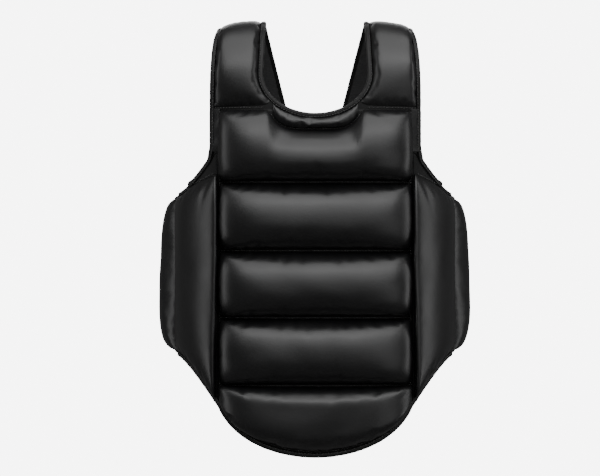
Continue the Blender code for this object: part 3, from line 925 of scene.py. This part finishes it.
def neck_tape():
    up = np.linspace(0.993, 0.07, 40)
    left = on(front_strap(BINDING_INSET), -1.0, up, TAPE_OUT)
    across = left[0][-1][0] * np.cos(np.linspace(0, math.pi, 41)[1:-1])
    low = on(column, across, neck_height(across, BINDING_INSET), TAPE_OUT)
    taped("neck_tape", *joined(left, low, mirrored(left)), 1, -1, "front", "neck_binding")


def hem_row(first, last):
    """The hem tape's path between two distances along the plan. Its two ends follow the wings."""
    turns = np.linspace(0.095, 0.905, 120) * math.pi
    u = -(HEM_HALF - BINDING_INSET) * np.cos(turns)
    z = SEAMS[4] - (HEM_DROP - BINDING_INSET) * np.sin(turns)
    kept = (u > first) & (u < last)
    return on(column, u[kept], z[kept], TAPE_OUT)


def front_stitches():
    """The stitches along the seams of the front."""
    u = np.linspace(-128.0, 128.0, 120)
    rows = [on(column, u, seam, THREAD_OUT) for seam in SEAMS[1:]]
    u = np.linspace(-59.0, 59.0, 60)
    rows.append(on(column, u, collar_low(u) - 0.2, RIM))
    turns = np.linspace(0.1, 0.9, 120) * math.pi
    u, z = (HEM_HALF - 8.6) * np.cos(turns), SEAMS[4] - (HEM_DROP - 8.6) * np.sin(turns)
    rows.append(on(column, u, z, RIM))
    for sign in (-1, 1):
        z = np.linspace(SEAMS[4] - 26.0, SEAMS[0], 120)
        rows.append(on(column, sign * 130.6, z, THREAD_OUT))
        u = sign * np.linspace(72.0, 137.0, 30)
        rows.append(on(column, u, SEAMS[0] + 2.2, RIM))
    thread("front_stitches", rows, 1, "front")


# One side, from the shoulder down and round to the belt


def shoulder_ramp(b):
    """The shoulder's stuffing thins out evenly below its middle, towards the first rib."""
    rise = (b + 1) / 0.73
    return 0.25 + 0.75 * (1 - np.log1p(np.exp(22 * (1 - rise))) / 22)


def shoulder(name, side):
    region = patch(-1, 1, lambda k: 0.03 + 0.05 * np.maximum(0.0, -k) ** 4, 0.985, (36, 48))
    pad(f"{name}_shoulder_pad", (f"{name}_shoulder_cover", f"{name}_shoulder_foam"), "front",
        front_strap(STRAP_PAD_INSET), region, 12.0, (5.0, 6.0), side=side, seed=51 + side,
        gather=0.7, ramp=shoulder_ramp)
    region = patch(-1, 1, -0.03, 0.993, (24, 40), 0.2)
    ledge(f"{name}_shoulder_ledge", front_strap(LEDGE_INSET), region, "front", side)
    lining(f"{name}_shoulder_lining_cloth", front_strap(STRAP_LINING_INSET), region, "front",
           f"{name}_shoulder_lining", side=side)


def side_strip(name, side):
    region = patch(131.0, OUTLINE_AT - 4.0, 117.5, SEAMS[0] + 1, (14, 40), 0.2)
    strip = layer(f"{name}_strip", column, region, (0.0, 4.2), side, seed=70, ripple=0.6)
    finish_piece(strip, LEATHER, "leather", "front", f"{name}_side_strip")


def armhole_tape(name, side):
    """The tape from the shoulder down and on along the wing's top, and the folded edge past its end."""
    up = np.linspace(0.993, 0.0, 50)
    shoulder_edge = on(front_strap(BINDING_INSET), 1.0, up, TAPE_OUT)
    arm = on(column, OUTLINE_AT - BINDING_INSET, np.linspace(172.0, 124.0, 14), TAPE_OUT)
    edge = set_back(wing_top, -BINDING_INSET)
    s = np.linspace(14.0, 54.0, 22)
    top = on(WING, s, edge(s), TAPE_OUT)
    turn = turning("front", f"{name}_wing", ARM_TURN, side)
    taped(f"{name}_armhole_tape", *joined(shoulder_edge, arm, top), side, 1, turn, f"{name}_armhole_binding",
          f"{name}_wing_top_binding", flare=1.5)
    s = np.linspace(50.0, WING_LENGTH - 4.0, 20)
    fold = sweep(f"{name}_wing_top_edge", *on(WING, s, edge(s), 1.8), EDGE_WIDTH, EDGE_HEIGHT, side)
    finish_piece(fold, LEATHER, "leather", f"{name}_wing")


def wing_hem_tape(name, side):
    s = np.linspace(5.0, WING_LENGTH - 3.0, 30)
    low = on(WING, s, set_back(wing_low, BINDING_INSET)(s), TAPE_OUT)
    turn = turning("front", f"{name}_wing", HEM_TURN, side)
    taped(f"{name}_wing_hem_tape", *joined(hem_row(97.0, HEM_HALF), low), side, -1, turn,
          f"{name}_wing_low_binding")


def wing(name, side):
    region = patch(2.6, WING_LENGTH - 2.0, set_back(wing_low, PAD_INSET), wing_pad_top, (52, 84))
    pad(f"{name}_wing_pad", (f"{name}_wing_cover", f"{name}_wing_foam"), f"{name}_wing", WING, region, 25.0,
        (30.0, 6.0), side=side, seed=81 + side, gather=0.2, taper=0.8, inward=19.0, loose=1.2)
    low = set_back(wing_low, LEDGE_INSET)
    region = patch(1.7, WING_LENGTH - 1.7, low, lambda s: wing_high(s, LEDGE_INSET), (40, 60), 0.2)
    ledge(f"{name}_wing_ledge", WING, region, f"{name}_wing", side)
    lining(f"{name}_wing_lining_cloth", WING, region, f"{name}_wing", f"{name}_wing_lining", side=side)


def rear_ramp(b):
    """The rear pads are stuffed more firmly towards the waist."""
    return 0.87 - 0.18 * b


def rear(name, side):
    region = patch(2.0, REAR_LENGTH - 4.5, shifted(rear_low, 4.5), shifted(rear_top, -4.5), (48, 72))
    pad(f"{name}_rear_pad", (f"{name}_rear_cover", f"{name}_rear_foam"), f"{name}_rear", REAR, region, 21.0,
        (2.4, 5.0), side=side, seed=91 + side, gather=0.6, soft=0.6, ramp=rear_ramp)
    region = patch(1.7, REAR_LENGTH - 2.0, shifted(rear_low, 1.5), shifted(rear_top, -1.5), (40, 60), 0.2)
    ledge(f"{name}_rear_ledge", REAR, region, f"{name}_rear", side)
    lining(f"{name}_rear_lining_cloth", REAR, region, f"{name}_rear", f"{name}_rear_lining", side=side)


def strap(name, side):
    region = patch(-1, 1, 0.012, 0.99, (30, 90))
    pad(f"{name}_strap_pad", (f"{name}_strap_cover",), "yoke", back_strap(STRAP_PAD_INSET), region, 5.5,
        (3.0, 12.0), side=side, seed=101 + side, gather=0.5)
    region = patch(-1, 1, 0.008, 0.997, (24, 70), 0.2)
    ledge(f"{name}_strap_ledge", back_strap(LEDGE_INSET), region, "yoke", side)
    lining(f"{name}_strap_lining_cloth", back_strap(STRAP_LINING_INSET), region, "yoke",
           f"{name}_strap_lining", side=side)
    down = np.linspace(0.008, 0.985, 80)
    path = on(back_strap(BINDING_INSET), 1.0, down, TAPE_OUT)
    taped(f"{name}_strap_tape", *path, side, -1, "yoke", f"{name}_strap_binding")


def wing_stitches(name, side):
    s = np.linspace(9.0, WING_LENGTH - 3.0, 60)
    z = np.linspace(wing_low(np.array(3.0)) + 12.0, 85.0, 100)
    rows = [on(WING, s, wing_pad_top(s) + 1.8, THREAD_OUT),
            on(WING, s, set_back(wing_low, 7.9)(s) - 0.8, THREAD_OUT),
            on(WING, 3.1, z, THREAD_OUT)]
    thread(f"{name}_wing_stitches", rows, side, f"{name}_wing")


def side_seam(name, side):
    """The leather that closes the side seam, and the lining behind it."""
    turn = turning("front", f"{name}_wing", SIDE_TURN, side)
    z = np.linspace(wing_low(np.array(0.0)) + 8.0, 121.0, 90)
    rows = [on(column, u, z, 0.0) for u in (125.0, 128.0, 130.5, 132.4)]
    rows += [on(WING, s, z, 0.0) for s in (0.8, 2.6, 5.0, 8.0)]
    # The closing is in the darker ledge leather, whose colour is painted shade of the seam's recess
    finish_piece(bridge(f"{name}_side_seam", rows, CLOSING_OUTS, side), LEDGE_PAINTED_SHADE, "leather", turn)
    rows = [on(column, u, z, 0.0) for u in (127.5, 130.0, 132.0)]
    rows += [on(WING, s, z, 0.0) for s in (1.0, 3.0, 5.5)]
    backing(f"{name}_side_seam_lining", rows, turn, side)


def gusset(name, side):
    u = np.linspace(132.4, OUTLINE_AT - 3.4, 12)
    rows = [on(column, u, z, 0.0) for z in (124.0, 121.0, 119.0)]
    s = np.linspace(-0.6, 12.0, 12)
    rows += [on(WING, s, z, 0.0) for z in (116.0, 113.0, 110.0, 106.0, 102.0)]
    strip = bridge(f"{name}_armhole_gusset", rows, CLOSING_OUTS, side)
    finish_piece(strip, LEATHER, "leather", turning("front", f"{name}_wing", ARM_TURN, side))


def crease(name, side):
    """The leather that closes the crease between a wing's two pads, and the lining behind it."""
    turn = turning(f"{name}_wing", f"{name}_rear", CREASE_TURN, side)
    z = np.linspace(WING_LOW + 6.0, WING_TOP - 5.0, 80)
    rows = [on(WING, WING_LENGTH - s, z, 0.0) for s in (7.0, 4.0, 1.2)]
    rows += [on(REAR, s, z, 0.0) for s in (1.2, 4.0, 7.0)]
    finish_piece(bridge(f"{name}_wing_crease", rows, CLOSING_OUTS, side), LEATHER, "leather", turn)
    backing(f"{name}_wing_crease_lining", rows, turn, side)


def shoulder_seam(name, side):
    """The leather that closes the shoulder seam, the lining behind it, and the two tapes' folded ends."""
    turn = turning("front", "yoke", SHOULDER_TURN, side)
    before, after = front_strap(STRAP_SEAM_INSET), back_strap(STRAP_SEAM_INSET)
    k = np.linspace(-0.97, 0.97, 30)
    rows = [on(before, k, t, 0.0) for t in (0.94, 0.965, 0.99)]
    rows += [on(after, k, t, 0.0) for t in (0.004, 0.012, 0.03)]
    # The closing is in the darker ledge leather, whose colour is painted shade of the seam's recess
    finish_piece(bridge(f"{name}_shoulder_seam", rows, (2.3, 3.4), side), LEDGE_PAINTED_SHADE, "leather", turn)
    backing(f"{name}_shoulder_seam_lining", rows, turn, side)
    before, after = front_strap(BINDING_INSET), back_strap(BINDING_INSET)
    ends = np.linspace(0.95, 0.995, 8), np.linspace(0.004, 0.03, 8)
    for label, k in (("inner", -1.0), ("outer", 1.0)):
        path = joined(on(before, k, ends[0], TAPE_OUT), on(after, k, ends[1], TAPE_OUT))
        knob = sweep(f"{name}_shoulder_knob_{label}", *path, KNOB_WIDTH, KNOB_HEIGHT, side, pitch=1.2)
        finish_piece(knob, TAPE, "binding_tape", turn)


def rear_stitches(name, side):
    s, z = outline(5.0, REAR_LENGTH - 1.0, rear_low, rear_top, 2.8)
    thread(f"{name}_rear_stitches", [on(REAR, s, z, LEDGE_OUTS[1])], side, f"{name}_rear")


def belt(name, side):
    """The elastic belt, its hooks, and the stitches that hold both."""
    turn = turning(f"{name}_rear", f"{name}_belt", BELT_TURN, side)
    finish_piece(band(f"{name}_belt", *belt_path(), side), ELASTIC, "elastic", turn, f"{name}_elastic_belt")
    low, high = (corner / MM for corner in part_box("left_hook_tab"))
    tab = plate(f"{name}_hooks", low, high, 4.0, side)
    finish_piece(tab, HOOKS, "hook_and_loop", f"{name}_belt", f"{name}_hook_tab")
    face = BELT_BOX[1].y / MM
    corners = [(low.x + 2.0, low.z + 2.0), (high.x - 2.0, high.z - 2.0)]
    thread(f"{name}_hook_stitches", box_rows(corners, facing_back(face)), side, f"{name}_belt")
    # A crossed box through the rear pad's lining
    ends = [(REAR_LENGTH - 11.5, low.z + 4.0), (REAR_LENGTH - 2.5, high.z - 4.0)]
    thread(f"{name}_belt_stitches", box_rows(ends, inner_face, crossed=True), side, f"{name}_rear")


# The back panel


def back_panel():
    edge = PANEL_HALF - 4.0
    region = patch(-edge, edge, shifted(panel_low, 4.0), shifted(panel_high, -4.0), (48, 56))
    pad("back_panel_pad", ("back_panel_cover", "back_panel_foam"), "yoke", panel, region, 9.2, (7.0, 7.0),
        seed=120, gather=0.5, lumps=0.2, bulge=0.5, loose=0.8)
    edge = PANEL_HALF - 1.0
    region = patch(-edge, edge, shifted(panel_low, 1.0), shifted(panel_high, -1.0), (40, 40), 0.3)
    ledge("back_panel_ledge", panel, region, "yoke")
    lining("back_panel_lining_cloth", panel, region, "yoke", "back_panel_lining")
    region = patch(-54.0, 54.0, PANEL_TOP - 4.0, lambda s: PANEL_TOP + 14.0 - 0.16 * np.abs(s), (30, 8), 0.2)
    ledge("back_yoke_gusset", panel, region, "yoke", outs=(0.2, 1.35))


def back_panel_tape():
    turn = np.linspace(0, math.tau, 240)
    reach = PANEL_HALF - PANEL_CORNER, (PANEL_TOP - PANEL_LOW) / 2 - PANEL_CORNER
    s, z = rounded_ring(turn, reach, PANEL_CORNER - 3.0, 3)
    path = on(panel, s, z + (PANEL_TOP + PANEL_LOW) / 2, LEDGE_OUTS[1])
    taped("back_panel_tape", *path, 1, -1, "yoke")


def loop_field():
    low, high = (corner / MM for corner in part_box("loop_patch"))
    finish_piece(plate("loop_field", low, high, 6.0), PILE, "hook_and_loop", "yoke", "loop_patch")
    corners = [(low.x + 2.5, low.z + 2.5), (high.x - 2.5, high.z - 2.5)]
    thread("loop_field_stitches", box_rows(corners, facing_back(high.y)), 1, "yoke")


def back_neck_tape():
    down = np.linspace(0.008, 0.965, 80)
    left = on(back_strap(BINDING_INSET), -1.0, down, TAPE_OUT)
    taped("back_neck_tape", *joined(left, mirrored(left)), 1, 1, "yoke", "back_neck_binding")


ribs()
collar_roll()
bib()
neck_tape()
taped("hem_tape", *hem_row(-103.0, 103.0), 1, -1, "front", "hem_binding")
for name, side in SIDES:
    for make in (shoulder, side_strip, armhole_tape, wing_hem_tape, wing, rear, strap, wing_stitches,
                 side_seam, gusset, crease, shoulder_seam, rear_stitches, belt):
        make(name, side)
back_panel()
back_panel_tape()
loop_field()
finish_pads()
back_neck_tape()
front_stitches()


# The stage, in metres


def panel_light(name, width, elevations, distance, radiance, turn):
    """A soft box facing the object, over a band of elevations seen from it."""
    low, high = (math.radians(e) for e in elevations)
    middle = (low + high) / 2
    tall = 2 * distance * math.tan((high - low) / 2)
    turn = math.radians(turn)
    flat = distance * math.cos(middle)
    aim = Vector((0.0, 0.05, 0.0))
    at = Vector((flat * math.sin(turn), 0.05 - flat * math.cos(turn), distance * math.sin(middle)))
    light = bpy.data.lights.new(name, "AREA")
    light.shape = "RECTANGLE"
    light.size, light.size_y = width, tall
    light.energy = radiance * math.pi * width * tall
    made = placed(name, light)
    made.location = at
    made.rotation_euler = (aim - at).to_track_quat("-Z", "Y").to_euler()
    made.visible_camera = False


def pale_world():
    """White where the camera sees it, and faint where it lights the object."""
    world = bpy.data.worlds.new("pale_studio")
    bpy.context.scene.world = world
    world.use_nodes = True
    tree = world.node_tree
    tree.nodes.clear()
    blend = node(tree, "MixShader", Fac=node(tree, "LightPath").outputs["Is Camera Ray"])
    for number, strength in ((1, 0.12), (2, 7.0)):
        light = node(tree, "Background", Color=(1.0, 1.0, 1.0, 1.0), Strength=strength)
        tree.links.new(light.outputs["Background"], blend.inputs[number])
    node(tree, "OutputWorld", Surface=blend.outputs["Shader"])


def pale_floor():
    bm = bmesh.new()
    bmesh.ops.create_circle(bm, cap_ends=True, segments=96, radius=2.0)
    mesh = bpy.data.meshes.new("floor")
    bm.to_mesh(mesh)
    bm.free()
    floor = placed("floor", mesh)
    floor.location = (0.0, 0.1, -0.62)
    pale, tree, shader, where = new_material("pale_floor")
    fill(tree, shader, Base_Color=tint(tree, noise(tree, where, 3.0), (0.86,) * 3, (0.9,) * 3), Roughness=0.9)
    mesh.materials.append(pale)
    floor.visible_glossy = False


def front_camera():
    camera = bpy.data.cameras.new("camera")
    camera.lens = 115.0
    camera.sensor_width = 36.0
    camera.clip_end = 50.0
    eye = placed("camera", camera)
    eye.location = (-0.0208, -2.6, 0.0)
    eye.rotation_euler = (math.pi / 2, 0.0, 0.0)
    bpy.context.scene.camera = eye


KEY_TURN = 8
panel_light("key_top", 2.5, (62, 92), 1.9, 2.6, KEY_TURN)
panel_light("key_upper", 2.5, (50, 62), 2.0, 3.2, KEY_TURN)
panel_light("key_high", 2.5, (36, 50), 2.0, 4.3, KEY_TURN)
panel_light("key_middle", 2.5, (15, 36), 2.3, 2.2, KEY_TURN)
panel_light("key_low", 2.2, (-6, 15), 2.4, 0.85, KEY_TURN)
panel_light("left_strip", 0.68, (-28, 40), 1.9, 2.0, -76)
panel_light("right_fill", 0.9, (-32, 4), 1.9, 0.8, 38)
panel_light("right_strip", 0.7, (-28, 40), 1.9, 2.1, 82)
panel_light("back_high", 1.6, (20, 50), 2.2, 2.4, 180)
panel_light("back_low", 1.6, (-8, 20), 2.2, 1.5, 180)
pale_world()
pale_floor()
front_camera()
